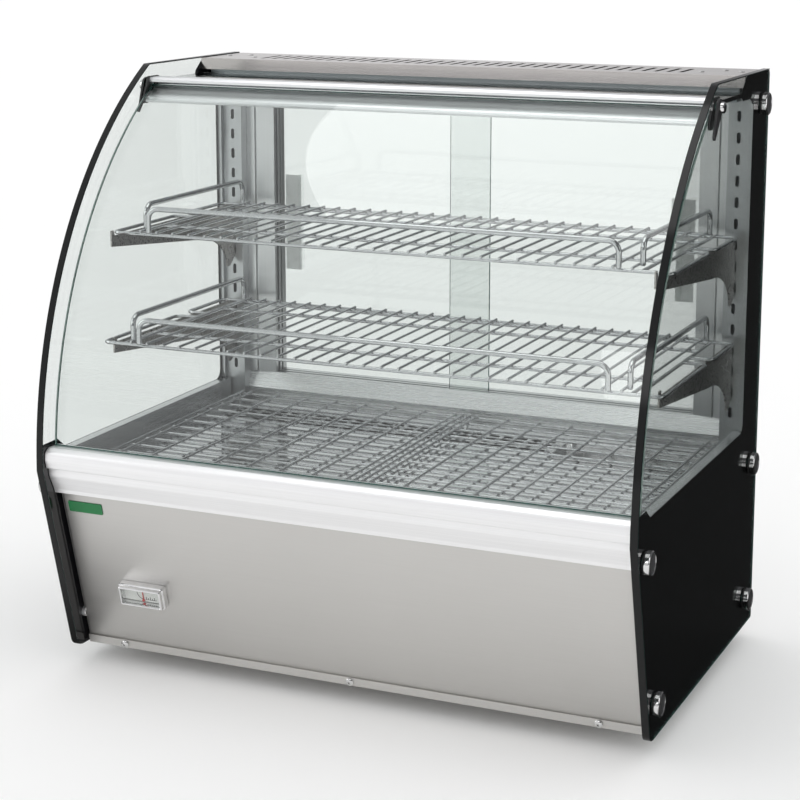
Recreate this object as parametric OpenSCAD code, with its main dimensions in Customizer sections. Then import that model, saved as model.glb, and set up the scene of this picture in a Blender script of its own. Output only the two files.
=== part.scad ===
/* [Overall size] */
// Distance between the outer faces of the two side glasses
case_w = 684; // [640:1:720]
// Height of the side glasses' top edge above the worktop
case_h = 670; // [668:1:674]
// Rear edge of the side glasses, behind the middle of the base
case_rear = 231; // [230:1:236]
// Height of the side glasses' bottom edge, which is also the foot height
foot_h = 22; // [18:1:26]

/* [Side glass] */
// Thickness of each side glass
side_t = 8; // [6:0.5:10]
// Radius of the curved front edge
edge_r = 506.85; // [500:0.05:515]
// Depth position of the curve's centre
curve_y = 272.4; // [268:0.1:276]
// Height of the curve's centre
curve_z = 235.7; // [232:0.1:240]
// Height of the knee where the curved edge meets the straight slanted edge
knee_z = 243; // [240:1:248]
// How far the slanted edge leans back for each millimetre down
lean = 0.265; // [0.24:0.005:0.29]
// Thickness of the black edging on the front and top edges
edging_t = 1.2; // [0.8:0.1:2]
// Thickness of the black print on the inner face
print_t = 0.4; // [0.3:0.1:0.8]

/* [Stand-offs and pivots] */
// Diameter of each steel stand-off cap
cap_d = 26; // [22:1:30]
// How far the caps stand out of the glass, with their washers
cap_out = 8; // [6:0.5:10]
// Diameter of the stand-off studs
stud_d = 8; // [6:1:10]
// Diameter of the front glass's pivot pins
pin_d = 8; // [6:1:8]

/* [Front glass] */
// Radius of the front glass's outer face
front_r = 488; // [484:0.5:490]
// Thickness of the front glass
front_t = 6; // [5:0.5:6]

/* [Housing] */
// Thickness of the housing's steel sheet
sheet_t = 1.2; // [1:0.1:1.5]
// Gap between a side glass and the housing's side sheet
side_gap = 4; // [3:0.5:5]
// Height of the deck's upper face
deck_z = 236; // [234:1:238]

/* [Shelves] */
// Height of the upper shelf's wires
upper_z = 490; // [480:1:500]
// Height of the lower shelf's wires
lower_z = 369; // [360:1:380]
// Diameter of the shelf wires
wire_d = 3; // [2.5:0.5:4]
// Diameter of the frame rods under the wires
rod_d = 4; // [3:0.5:5]
// Diameter of the guard rails
guard_d = 6; // [5:0.5:6]
// Height of the guard rails above the wires
guard_h = 27; // [20:1:32]
// Distance between shelf wires
wire_pitch = 20.5; // [18:0.5:24]

/* [Doors] */
// Thickness of each sliding door's glass
door_t = 4; // [4:0.5:5]
// Half of the clear width between the door jambs
door_half = 268; // [260:1:272]
// Height of the door sill
sill_z = 270; // [266:1:274]
// Height of the header's lower edge
header_z = 640; // [636:1:642]

/* [Hidden] */
$fn = 48;

steel = [0.74, 0.74, 0.73];
aluminium = [0.82, 0.83, 0.84];
clear = [0.75, 0.88, 0.86, 0.35];
black = [0.06, 0.06, 0.07];

glass_out = case_w / 2;
glass_in = glass_out - side_t;
sheet_out = glass_in - side_gap;
sheet_in = sheet_out - sheet_t;

// The slanted front edge of the side glasses, and the front panel parallel to it
knee_y = curve_y - sqrt(edge_r * edge_r - pow(knee_z - curve_z, 2));
panel_back = 20;
tilt = atan(lean);
function slant_y(z) = knee_y + lean * (knee_z - z);
function panel_y(z) = slant_y(z) + panel_back;

// Stand-off positions on each side glass, as depth and height
standoffs = [[202, 633], [202, 218], [-208, 222], [195, 56], [-162, 60]];
// Screws in the top cover, as width and depth
cover_fixings = [[280, 168], [300, 196], [322, 182]];
cover_top = case_h - 1;
cover_front = 131;
// Screws through the tray's lip into the front panel
lip_fixings = [-282, 0, 282];
lip_z = foot_h + 5;
lip_gap = sheet_t + 0.1;
// Screws in the rear panel, as width and height
rear_fixings = [for (x = [-310, -100, 100, 310], z = [36, 222]) [x, z]];
// Pivot axis of the front glass, as depth and height
pivot = [11.3, 645.5];
pivot_hole_r = 5.1;

// Shelf supports
slot_pitch = 24.2;
slot_z0 = 281.4;
slot_count = 15;
slot_x = sheet_out - 14;
upright_y = 178;
upright_in = sheet_out - 26;
flange_y = 171.5;
frame_y = 192;
frame_rear = 226;
shelf_rear = 165;
shelf_half = upright_in - 7;
// The loops at the shelves' ends: their outer legs, and the gap between the front and the rear one
loop_x = slot_x + 7;
loop_gap = [45, 70];
upper_front = -92;
lower_front = -118;

// Door tracks: front track for the right door, rear track for the left door
track_front = 204;
track_rear = 214;
track_w = door_t + 1;
door_bottom = sill_z - 9;
door_top = header_z + 8;
jamb_slot = 24;
right_door_left_edge = -34;
left_door_right_edge = 14;

// Water pan in the deck
pan_x = [138, 306];
pan_y = [66, 146];
pan_depth = 30;

// Rear panel face, recessed behind the side glasses' rear edges
rear_face = 214;
control_z = 130;
knob_x = 200;
power_x = 120;
light_x = 70;
rocker_pin_r = 1.5;
gland_x = -230;
gland_z = 70;

fan_c = [-80, 108];
fan_z = 150;
fan_size = 120;

dial_x = -243.5;
dial_z = 98.5;
bezel_w = 57;
bezel_h = 27;
bezel_out = 13;

function unit(v) = v / norm(v);
function turn(v, a) = [v.x * cos(a) - v.y * sin(a), v.x * sin(a) + v.y * cos(a)];
// Points of a rounded corner at p, between its neighbours a and b
function corner(a, p, b, r, n = 6) =
    let (u = unit(a - p), w = unit(b - p), half = acos(u * w) / 2,
         c = p + unit(u + w) * r / sin(half), s = p + u * r / tan(half) - c,
         e = p + w * r / tan(half) - c, way = sign(cross(s, e)))
    [for (i = [0:n]) c + turn(s, way * (180 - 2 * half) * i / n)];
// A polygon with each corner rounded to its own radius
function rounded(p, r) =
    let (n = len(p))
    [for (i = [0:n - 1]) each r[i] == 0 ? [p[i]]
        : corner(p[(i + n - 1) % n], p[i], p[(i + 1) % n], r[i])];

// A depth-and-height outline drawn out along the width
module along_x(x0, x1) {
    translate([x0, 0, 0]) rotate([90, 0, 90]) linear_extrude(x1 - x0) children();
}
// A width-and-height outline drawn out along the depth
module along_y(y0, y1) {
    translate([0, y1, 0]) rotate([90, 0, 0]) linear_extrude(y1 - y0) children();
}
module both_sides() {
    children();
    mirror([1, 0, 0]) children();
}
// Bar or hole along the width, on a depth-and-height position
module bar_x(x0, x1, p, r) {
    translate([x0, p.x, p.y]) rotate([0, 90, 0]) cylinder(h = x1 - x0, r = r);
}
// Straight eight-sided wires
module wire_x(x0, x1, y, z, d) {
    translate([x0, y, z]) rotate([0, 90, 0]) rotate(22.5) cylinder(h = x1 - x0, d = d, $fn = 8);
}
module wire_y(y0, y1, x, z, d) {
    translate([x, y0, z]) rotate([-90, 0, 0]) rotate(22.5) cylinder(h = y1 - y0, d = d, $fn = 8);
}
// Box from its lowest to its highest corner
module block(a, b) {
    translate(a) cube(b - a);
}
// Parts mounted on the slanted front panel: -Y points out of the panel, Z up along it
module on_panel(x, z) {
    translate([x, panel_y(z), z]) rotate([tilt, 0, 0]) children();
}

// Outline of a side glass, with its front and top edges moved in by inset
module side_outline(inset) {
    shift = inset / cos(tilt);
    top = case_h - inset;
    intersection() {
        translate([curve_y, curve_z]) circle(r = edge_r - inset, $fn = 240);
        polygon(rounded([
            [slant_y(foot_h) + shift, foot_h], [case_rear, foot_h], [case_rear, top],
            [slant_y(top) + shift, top],
        ], [12, 3, 5, 0]));
    }
}

module side_glass() {
    color(clear) along_x(glass_in, glass_out) difference() {
        side_outline(edging_t);
        for (p = standoffs) translate(p) circle(d = stud_d + 4);
        translate(pivot) circle(r = pivot_hole_r);
    }
}
module side_glass_right() side_glass();
module side_glass_left() mirror([1, 0, 0]) side_glass();

module edge_trims() {
    color(black) both_sides() along_x(glass_in, glass_out) difference() {
        side_outline(0);
        side_outline(edging_t);
        translate([curve_y, -1]) square([200, case_h - 20]);
    }
}

// Black print behind the side glass: lower field, rear strip and the lobe round the cover
module print_outline() {
    intersection() {
        side_outline(edging_t);
        polygon(rounded([
            [-400, foot_h - 1], [case_rear + 1, foot_h - 1], [case_rear + 1, case_h + 1],
            [141, case_h + 1], [131, 665], [118, 655], [115, 647], [121, 642.5], [152, 642],
            [168, 634], [168, 262], [-188, 262], [-202, 273], [-400, 271]
        ], [0, 0, 0, 0, 4, 4, 4, 3, 5, 4, 12, 3, 2, 0]));
    }
}
module glass_prints() {
    color(black) both_sides() along_x(glass_in - print_t, glass_in) difference() {
        print_outline();
        for (p = standoffs) translate(p) circle(d = stud_d + 4);
    }
}

module standoff_caps() {
    color(steel) both_sides() for (p = standoffs) difference() {
        bar_x(glass_out + 1.5, glass_out + cap_out, p, cap_d / 2);
        bar_x(glass_out + 1, glass_out + 5, p, stud_d / 2);
    }
}
module standoff_washers() {
    color(black) both_sides() for (p = standoffs) difference() {
        union() {
            bar_x(glass_out, glass_out + 1.5, p, cap_d / 2 - 1.5);
            bar_x(glass_in + 0.5, glass_out, p, stud_d / 2 + 1.8);
        }
        bar_x(glass_in, glass_out + 2, p, stud_d / 2 + 0.05);
    }
}
// Studs threaded into the side sheet and, at the top, into the upright
module standoff_studs() {
    color(steel) both_sides() for (p = standoffs) bar_x(sheet_in, glass_out + 5, p, stud_d / 2);
}
module standoff_spacers() {
    color(aluminium) both_sides() for (p = standoffs) difference() {
        bar_x(sheet_out, glass_in - print_t, p, stud_d / 2 + 1.6);
        bar_x(sheet_out - 1, glass_in, p, stud_d / 2 + 0.1);
    }
}

// Shallow tray with a lip that lies on the front panel's foot
module base_tray() {
    lip_top = foot_h + 10;
    floor_y = panel_y(foot_h) - lip_gap;
    color(steel) difference() {
        union() {
            block([-sheet_in, floor_y, foot_h], [sheet_in, frame_rear, foot_h + sheet_t]);
            along_x(-sheet_out, sheet_out) slanted_strip(foot_h, lip_top, -lip_gap);
            block([-sheet_in, frame_rear - sheet_t, foot_h], [sheet_in, frame_rear, foot_h + 12]);
        }
        for (x = lip_fixings) on_panel(x, lip_z) rotate([90, 0, 0]) translate([0, 0, -2])
            cylinder(h = 8, r = 2.2);
        for (x = [-220:20:-100], y = [-60, 0, 60]) block([x - 5, y - 20, 0], [x + 5, y + 20, 40]);
    }
}
module feet() {
    color(black) for (x = [-285, 285], y = [-80, 188]) translate([x, y, 0]) difference() {
        union() {
            cylinder(h = 4, r = 17);
            cylinder(h = foot_h, r = 15);
        }
        translate([0, 0, -1]) cylinder(h = 6, r = 5);
    }
}
// Sheet strip along the slanted front, from height z0 to z1
module slanted_strip(z0, z1, back) {
    polygon([
        [panel_y(z0) + back, z0], [panel_y(z0) + back + sheet_t, z0],
        [panel_y(z1) + back + sheet_t, z1], [panel_y(z1) + back, z1]
    ]);
}
module front_panel() {
    color(steel) difference() {
        along_x(-sheet_in + 0.3, sheet_in - 0.3) slanted_strip(foot_h + sheet_t + 0.5, 217, 0);
        for (x = lip_fixings) on_panel(x, lip_z) rotate([90, 0, 0]) translate([0, 0, -4])
            cylinder(h = 8, r = 2.2);
    }
}
module front_screws() {
    color(steel) for (x = lip_fixings) on_panel(x, lip_z) translate([0, -lip_gap * cos(tilt), 0])
        rotate([90, 0, 0]) {
        translate([0, 0, -9.5]) cylinder(h = 10, r = 2);
        difference() {
            intersection() {
                cylinder(h = 3, r = 4.8);
                translate([0, 0, -3.2]) sphere(r = 6.2);
            }
            for (a = [0, 90]) rotate(a) translate([-2.6, -0.5, 1.6]) cube([5.2, 1, 3]);
        }
    }
}
module side_sheet() {
    color(steel) along_x(sheet_in, sheet_out) difference() {
        polygon([
            [panel_y(foot_h) + sheet_t, foot_h + sheet_t], [frame_rear, foot_h + sheet_t],
            [frame_rear, deck_z], [-210.5, deck_z], [-210.5, 213], [panel_y(213) + sheet_t, 213]
        ]);
        for (p = standoffs) translate(p) circle(r = stud_d / 2 + 0.1);
    }
}
module side_sheet_right() side_sheet();
module side_sheet_left() mirror([1, 0, 0]) side_sheet();

// Louvres, control openings and cable hole in the recessed rear panel
module rear_panel() {
    color(steel) along_y(rear_face - sheet_t, rear_face) difference() {
        translate([-sheet_in, foot_h + sheet_t]) square([2 * sheet_in, deck_z - 3 - foot_h - sheet_t]);
        for (i = [0:11]) translate([-190 + i * 18, 90]) square([5, 90]);
        translate([knob_x, control_z]) circle(r = 5);
        for (x = [power_x, light_x]) translate([x - 11, control_z - 14]) square([22, 28]);
        translate([gland_x, gland_z]) circle(r = 10.1);
        for (p = rear_fixings) translate(p) circle(r = 2.2);
    }
}
module rear_screws() {
    color(steel) for (p = rear_fixings) translate([p.x, rear_face, p.y])
        rotate([-90, 0, 0]) {
            translate([0, 0, -6]) cylinder(h = 6.5, r = 2);
            difference() {
                cylinder(h = 2.4, r = 4.2);
                for (a = [0, 90]) rotate(a) translate([-2.2, -0.5, 1.2]) cube([4.4, 1, 3]);
            }
        }
}
module front_profile() {
    color(aluminium) along_x(-glass_in + 1, glass_in - 1) difference() {
        polygon(rounded([
            [-204, 268], [-223, 268], [-230, 264], [-231, 255], [-228.5, 245.5], [-224.5, 244.5],
            [-223.5, 236], [-215, 219], [-213.8, 214.5], [-211.8, 214.5], [-213.2, 219.5],
            [-220, 234], [-221, 242.5], [-204, 242.5]
        ], [0, 5, 5, 10, 1.5, 0, 10, 8, 0, 0, 8, 10, 0, 0]));
        polygon([
            [-206.5, 265.5], [-222, 265.5], [-227.2, 261.5], [-228.3, 255], [-226.5, 247.5],
            [-223, 245], [-206.5, 245]
        ]);
    }
}

module deck_plate() {
    color(steel) difference() {
        union() {
            block([-322, -203.5, deck_z - sheet_t], [322, upright_y - 0.2, deck_z]);
            block([0.2 - upright_in, 0, deck_z - sheet_t], [upright_in - 0.2, frame_y - 4.2, deck_z]);
        }
        for (i = [0:23], j = [0:3]) block([-285 + 17.5 * i, 90 + 13 * j, deck_z - 5],
            [-273 + 17.5 * i, 97 + 13 * j, deck_z + 5]);
        block([pan_x[0] + 5, pan_y[0] + 5, deck_z - 5], [pan_x[1] - 5, pan_y[1] - 5, deck_z + 5]);
    }
}
module deck_ledges() {
    top = 262;
    color(steel) both_sides() translate([0, -203, 0]) rotate([-90, 0, 0]) linear_extrude(378)
        polygon([
            [322, -deck_z + sheet_t], [322, -top], [sheet_out + 3, -top],
            [sheet_out + 3, -top + sheet_t], [322 + sheet_t, -top + sheet_t],
            [322 + sheet_t, -deck_z + sheet_t]
        ]);
}
module deck_grid() {
    y0 = -155;
    y1 = 175;
    z = 246;
    color(steel) {
        for (x = [4.5, for (k = [0:7]) 14 + 40 * k, 305.5]) wire_y(y0 - 3, y1 + 1.5, x, z, wire_d);
        for (k = [0:11]) wire_x(4, 306, y0 + 30 * k, z - wire_d + 0.4, wire_d);
        for (x = [4.5, 305.5], y = [y0 + 8, y1 - 8]) translate([x, y, deck_z])
            cylinder(h = z - deck_z, d = wire_d, $fn = 8);
    }
}
module deck_grid_right() deck_grid();
module deck_grid_left() mirror([1, 0, 0]) deck_grid();

// Rounded rectangle for the pan, moved in by inset
module pan_outline(inset) {
    a = [pan_x[0] + inset, pan_y[0] + inset];
    b = [pan_x[1] - inset, pan_y[1] - inset];
    r = max(14 - inset, 3);
    polygon(rounded([a, [b.x, a.y], b, [a.x, b.y]], [r, r, r, r]));
}
module water_pan() {
    rim = deck_z + 4;
    color(steel) difference() {
        union() {
            translate([0, 0, deck_z]) linear_extrude(rim - deck_z) pan_outline(0);
            translate([0, 0, rim - pan_depth]) linear_extrude(pan_depth) pan_outline(6);
        }
        translate([0, 0, rim - pan_depth + 1]) linear_extrude(pan_depth) pan_outline(7);
    }
}

module front_glass() {
    top_a = 57.6;
    low_z = 268.4;
    far = 800;
    color(clear) along_x(-sheet_out - 0.8, sheet_out + 0.8) intersection() {
        translate([curve_y, curve_z]) difference() {
            circle(r = front_r, $fn = 240);
            circle(r = front_r - front_t, $fn = 240);
        }
        polygon([
            [curve_y - (low_z - curve_z) / tan(top_a), low_z], [-400, low_z], [-400, far],
            [curve_y - far * cos(top_a), curve_z + far * sin(top_a)]
        ]);
    }
}
module glass_rail() {
    color(aluminium) along_x(-sheet_out - 0.8, sheet_out + 0.8)
        polygon([
            [5, 649.5], [4.5, 652.5], [7, 655], [25, 655], [27, 653], [27.5, 647], [26.5, 643.2],
            [12.6, 634], [2.2, 627], [0.2, 624.5], [-3.2, 624.5], [-4.4, 627], [-3.8, 629.5],
            [-1.4, 631.6], [3, 633.2], [8.1, 635], [21.7, 643.9], [25, 648], [25, 652], [8, 652],
            [7.5, 649.5]
        ]);
}
module rail_end_caps() {
    color(black) both_sides() difference() {
        along_x(sheet_out + 0.8, glass_in - 0.6) polygon(rounded([
            [3, 656], [27.5, 656], [28.5, 645], [3, 623], [-6, 623], [-9.5, 630], [0, 647]
        ], [2, 3, 3, 3, 3, 3, 3]));
        bar_x(sheet_out, glass_in, pivot, pin_d / 2);
    }
}
module pivot_pins() {
    color(steel) both_sides() {
        bar_x(sheet_out + 0.8, glass_out + 3.2, pivot, pin_d / 2);
        bar_x(glass_out + 3.2, glass_out + cap_out, pivot, 6);
    }
}
module pivot_bushes() {
    color(black) both_sides() difference() {
        bar_x(glass_in, glass_out, pivot, pivot_hole_r - 0.1);
        bar_x(glass_in - 1, glass_out + 1, pivot, pin_d / 2 + 0.06);
    }
}
// Teardrop cover plate outside each pivot hole
module hinge_plates() {
    tip = [-5.5, 615.5];
    r0 = 9;
    r1 = 2.6;
    way = unit(tip - pivot);
    lift = asin((r0 - r1) / norm(tip - pivot));
    a = turn(way, 90 - lift);
    b = turn(way, lift - 90);
    color(black) both_sides() along_x(glass_out, glass_out + 3) difference() {
        union() {
            translate(pivot) circle(r = r0);
            translate(tip) circle(r = r1);
            polygon([pivot + a * r0, tip + a * r1, tip + b * r1, pivot + b * r0]);
        }
        translate(pivot) circle(r = pin_d / 2 + 0.1);
    }
}

module top_glass() {
    color(clear) block([-glass_in + 0.6, 32, 646], [glass_in - 0.6, 140, 651]);
}
module top_cover() {
    half = glass_in - 1;
    color(steel) difference() {
        union() {
            block([-half, cover_front, cover_top - sheet_t], [half, frame_rear + 1.5, cover_top]);
            block([-half, cover_front, 655.5], [half, cover_front + sheet_t, cover_top]);
            block([-half, frame_rear + 0.1, 646], [half, frame_rear + 1.5, cover_top]);
        }
        for (i = [-18:18])
            block([14.5 * i - 2.5, 152, cover_top - 5], [14.5 * i + 2.5, 204, cover_top + 5]);
        both_sides() for (p = cover_fixings) translate([p.x, p.y, cover_top - 5]) cylinder(h = 10, r = 1.7);
    }
}
module cover_screws() {
    color(steel) both_sides() for (p = cover_fixings)
        translate([p.x, p.y, cover_top]) {
            translate([0, 0, -6]) cylinder(h = 6, r = 1.6);
            intersection() {
                cylinder(h = 1, r = 3.6);
                translate([0, 0, -6.4]) sphere(r = 7.4);
            }
        }
}
module lamp_housing() {
    color(aluminium) difference() {
        along_x(-325, 325) difference() {
            polygon([
                [140.2, 655], [190, 655], [190, header_z], [128, header_z], [128, 643],
                [132, 645.8], [140.2, 645.8]
            ]);
            translate([150, 636]) square([30, 10]);
        }
        both_sides() block([upright_in - 0.2, upright_y - 0.2, 630], [330, 200, 660]);
    }
}
module lamp_lens() {
    color([0.95, 0.95, 0.9]) along_x(0.5 - upright_in, upright_in - 0.5)
        translate([150.4, 638.5]) square([29.2, 4]);
}

// Hollow uprights with a row of bracket slots in their front face and a flange along the glass
module uprights() {
    wall = 1.5;
    color(aluminium) both_sides() difference() {
        union() {
            block([upright_in, upright_y, deck_z], [sheet_out, frame_rear, 655]);
            block([sheet_out - wall, flange_y, 263], [glass_in - print_t - 0.2, frame_y, 655]);
        }
        block([upright_in + wall, upright_y + wall, deck_z - 1],
            [sheet_out - wall, frame_rear - wall, 656]);
        for (k = [0:slot_count - 1]) translate([slot_x, upright_y - 1, slot_z0 + slot_pitch * k])
            rotate([-90, 0, 0]) {
                for (z = [-4, 4]) translate([0, z, 0]) cylinder(h = 3, r = 2.2);
                translate([-2.2, -4, 0]) cube([4.4, 8, 3]);
            }
        bar_x(sheet_out - 3, sheet_out + 1, standoffs[0], stud_d / 2 + 0.1);
    }
}

module tracks_2d(depth) {
    for (y = [track_front, track_rear]) translate([y - track_w / 2, 0]) square([track_w, depth]);
}
module door_sill() {
    color(aluminium) along_x(-upright_in, upright_in) difference() {
        polygon([[frame_y - 4, deck_z], [frame_rear, deck_z], [frame_rear, sill_z],
            [frame_y + 4, sill_z], [frame_y - 4, 250]]);
        translate([0, sill_z - 10]) tracks_2d(20);
        translate([frame_y + 14, deck_z - 1]) square([frame_rear - frame_y - 17, 20]);
    }
}
module door_header() {
    color(aluminium) along_x(-upright_in, upright_in) difference() {
        polygon([[frame_y, 655], [frame_rear, 655], [frame_rear, header_z],
            [frame_y + 4, header_z], [frame_y, header_z + 5]]);
        translate([0, header_z - 10]) tracks_2d(22);
    }
}
module door_jambs() {
    color(aluminium) both_sides() translate([0, 0, sill_z]) linear_extrude(header_z - sill_z)
        difference() {
            polygon([[door_half, frame_y + 4], [door_half + 22, frame_y], [upright_in, frame_y],
                [upright_in, frame_rear], [door_half, frame_rear]]);
            for (y = [track_front, track_rear]) translate([door_half - 1, y - track_w / 2])
                square([jamb_slot + 1, track_w]);
            translate([door_half + 23, frame_y - 1]) square([2, 6]);
        }
}
module door_right() {
    color(clear) block([right_door_left_edge, track_front - door_t / 2, door_bottom],
        [door_half + jamb_slot - 2, track_front + door_t / 2, door_top]);
}
module door_left() {
    color(clear) block([-door_half - jamb_slot + 2, track_rear - door_t / 2, door_bottom],
        [left_door_right_edge, track_rear + door_t / 2, door_top]);
}
// Clear finger pull glued to the back of a door
module finger_pull(x, y, out) {
    color(clear) translate([x, y, 400]) {
        cube([22, 1.5, 120]);
        cube([1.5, out, 120]);
        translate([0, out - 1.2, 0]) cube([7, 1.2, 120]);
    }
}
module door_right_handle() finger_pull(240, track_front + door_t / 2, 4.6);
module door_left_handle() mirror([1, 0, 0]) finger_pull(240, track_rear + door_t / 2, 8);

// Cantilever plate hooked into two slots; its top edge carries the shelf rods
module bracket(shelf_z) {
    top = shelf_z - 5;
    hook_a = slot_z0 + slot_pitch * round((top - 10 - slot_z0) / slot_pitch);
    color(steel) along_x(slot_x - 1, slot_x + 1) {
        polygon(concat(
            [[-109, top - 12], [-109, top + 6], [-104, top + 6], [-102, top], [upright_y - 0.1, top],
             [upright_y - 0.1, top - 66], [166, top - 76], [160, top - 77]],
            [for (a = [0:10:90]) [158 - 80 * (1 - cos(a)), top - 76 + 44 * sin(a)]]));
        for (z = [hook_a, hook_a - 2 * slot_pitch])
            polygon([[upright_y - 2, z - 4], [upright_y + 4, z - 5.5], [upright_y + 4, z + 3],
                [upright_y - 2, z + 3]]);
    }
}
module upper_brackets() both_sides() bracket(upper_z);
module lower_brackets() both_sides() bracket(lower_z);

// Wires lie on cross rods; two loops at each end reach over the brackets
module shelf_grid(z, y_front) {
    n = floor((shelf_half - 4) / wire_pitch);
    rod_z = z - 3;
    end = rod_d / 2;
    color(steel) {
        for (k = [-n:n]) wire_y(y_front - 2, shelf_rear + 2, k * wire_pitch, z, wire_d);
        for (y = [y_front + 65, shelf_rear - 60, shelf_rear - 12, shelf_rear])
            wire_x(-shelf_half, shelf_half, y, rod_z, rod_d);
        wire_x(-loop_x - end, loop_x + end, y_front, rod_z, rod_d);
        both_sides() {
            wire_y(y_front, shelf_rear + 2, shelf_half, rod_z, rod_d);
            for (y = [loop_gap.x, loop_gap.y, shelf_rear - 6])
                wire_x(shelf_half, loop_x + end, y, rod_z, rod_d);
            wire_y(y_front, loop_gap.x, loop_x, rod_z, rod_d);
            wire_y(loop_gap.y, shelf_rear - 6, loop_x, rod_z, rod_d);
        }
    }
}
// Hoop of rod with two legs and rounded corners, drawn in X and Z
module hoop(w, h) {
    r = 12;
    rotate([90, 0, 0]) {
        for (s = [-1, 1]) translate([s * w / 2, 0, 0]) rotate([-90, 0, 0])
            cylinder(h = h - r, d = guard_d, $fn = 24);
        translate([-w / 2 + r, h, 0]) rotate([0, 90, 0]) cylinder(h = w - 2 * r, d = guard_d, $fn = 24);
        translate([w / 2 - r, h - r, 0]) rotate_extrude(angle = 90) translate([r, 0])
            circle(d = guard_d, $fn = 24);
        translate([-w / 2 + r, h - r, 0]) rotate(90) rotate_extrude(angle = 90) translate([r, 0])
            circle(d = guard_d, $fn = 24);
    }
}
module shelf_guards(z, y_front, side_front) {
    foot = z - 0.9;
    gap = rod_d / 2 + guard_d / 2 + 0.1;
    color(steel) {
        translate([0, y_front - gap, foot]) hoop(548, guard_h + 0.9);
        for (s = [-1, 1])
            translate([s * (shelf_half - gap), (shelf_rear - 8 + side_front) / 2, foot]) rotate(90)
                hoop(shelf_rear - 8 - side_front, guard_h + 0.9);
    }
}
module upper_shelf_grid() shelf_grid(upper_z, upper_front);
module lower_shelf_grid() shelf_grid(lower_z, lower_front);
module upper_shelf_guards() shelf_guards(upper_z, upper_front, -72);
module lower_shelf_guards() shelf_guards(lower_z, lower_front, -106);

// Tubular heater bent back and forth under the deck's perforations
module heating_element() {
    z = 205;
    d = 8;
    run = 150;
    step = 24;
    color([0.35, 0.3, 0.28]) translate([fan_c.x, fan_c.y, z]) {
        for (j = [-2:2]) translate([-run / 2, j * step, 0]) rotate([0, 90, 0])
            cylinder(h = run, d = d, $fn = 24);
        for (j = [-2:1]) translate([j % 2 == 0 ? run / 2 : -run / 2, (j + 0.5) * step, 0])
            rotate(j % 2 == 0 ? -90 : 90) rotate_extrude(angle = 180) translate([step / 2, 0])
                circle(d = d, $fn = 24);
        for (x = [-50, 50]) translate([x, -62, -5]) cube([2, 124, deck_z - sheet_t - z + 5]);
    }
}
module fan_frame() {
    color(black) translate([fan_c.x, fan_c.y, fan_z]) difference() {
        union() {
            translate([-fan_size / 2, -fan_size / 2, 0]) cube([fan_size, fan_size, 25]);
            for (x = [-55, 55], y = [-55, 55]) translate([x, y, foot_h + sheet_t - fan_z])
                cylinder(h = fan_z - foot_h, r = 4);
        }
        translate([0, 0, 3]) cylinder(h = 30, r = 57);
        difference() {
            translate([0, 0, -1]) cylinder(h = 10, r = 57);
            translate([0, 0, -1]) cylinder(h = 10, r = 20);
            for (a = [0:90:270]) rotate(a) translate([0, -3, -1]) cube([60, 6, 10]);
        }
    }
}
module fan_rotor() {
    color([0.15, 0.15, 0.16]) translate([fan_c.x, fan_c.y, fan_z + 4]) {
        cylinder(h = 19, r = 20);
        for (a = [0:51.4286:359]) rotate(a) translate([18, 0, 9.5]) rotate([35, 0, 0])
            translate([0, -1, -9]) cube([35, 2, 18]);
    }
}
module thermostat_body() {
    color(black) translate([knob_x, rear_face - sheet_t, control_z]) rotate([90, 0, 0]) {
        translate([-20, -16, 0]) cube([40, 32, 30]);
        translate([0, 0, -5]) cylinder(h = 5, r = 4);
    }
}
module thermostat_knob() {
    color(black) translate([knob_x, rear_face + 0.5, control_z]) rotate([-90, 0, 0]) difference() {
        union() {
            cylinder(h = 4, r = 20);
            cylinder(h = 14, r = 15);
            translate([-3, -15, 0]) cube([6, 30, 16]);
        }
        translate([0, 0, -1]) cylinder(h = 6, r = 4.2);
    }
}
module switch_housings() {
    color(black) for (x = [power_x, light_x]) translate([x, 0, control_z]) difference() {
        union() {
            block([-10.8, rear_face - 24, -13.8], [10.8, rear_face, 13.8]);
            block([-13, rear_face, -16], [13, rear_face + 2, 16]);
        }
        block([-8.6, rear_face - 8, -12], [8.6, rear_face + 3, 12]);
        bar_x(-10, 10, [rear_face - 2, 0], rocker_pin_r + 0.06);
    }
}
// Rocker seen from the side: a dished face tilted about its pivot
module rocker(x) {
    throw = 11;
    translate([x, 0, control_z]) {
        translate([-8.2, rear_face - 2, 0]) rotate([90, 0, 90])
            linear_extrude(16.4) rotate(-throw) polygon(rounded([
                [-3, -4], [1.5, -9.5], [5, -9.5], [3.5, 0], [5, 9.5], [1.5, 9.5], [-3, 4]
            ], [1, 1, 1, 0, 1, 1, 1]));
        bar_x(-9.6, 9.6, [rear_face - 2, 0], rocker_pin_r);
    }
}
module power_switch() color([0.1, 0.45, 0.15]) rocker(power_x);
module light_switch() color([0.12, 0.12, 0.12]) rocker(light_x);
module cable_gland() {
    color(black) translate([gland_x, rear_face, gland_z]) rotate([-90, 0, 0]) difference() {
        union() {
            translate([0, 0, -9]) cylinder(h = 9.1, r = 10);
            cylinder(h = 5, r = 13, $fn = 6);
            cylinder(h = 15, r = 9);
            translate([0, 0, -sheet_t - 5]) cylinder(h = 5, r = 14, $fn = 6);
        }
        translate([0, 0, -10]) cylinder(h = 30, r = 4);
    }
}

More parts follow.
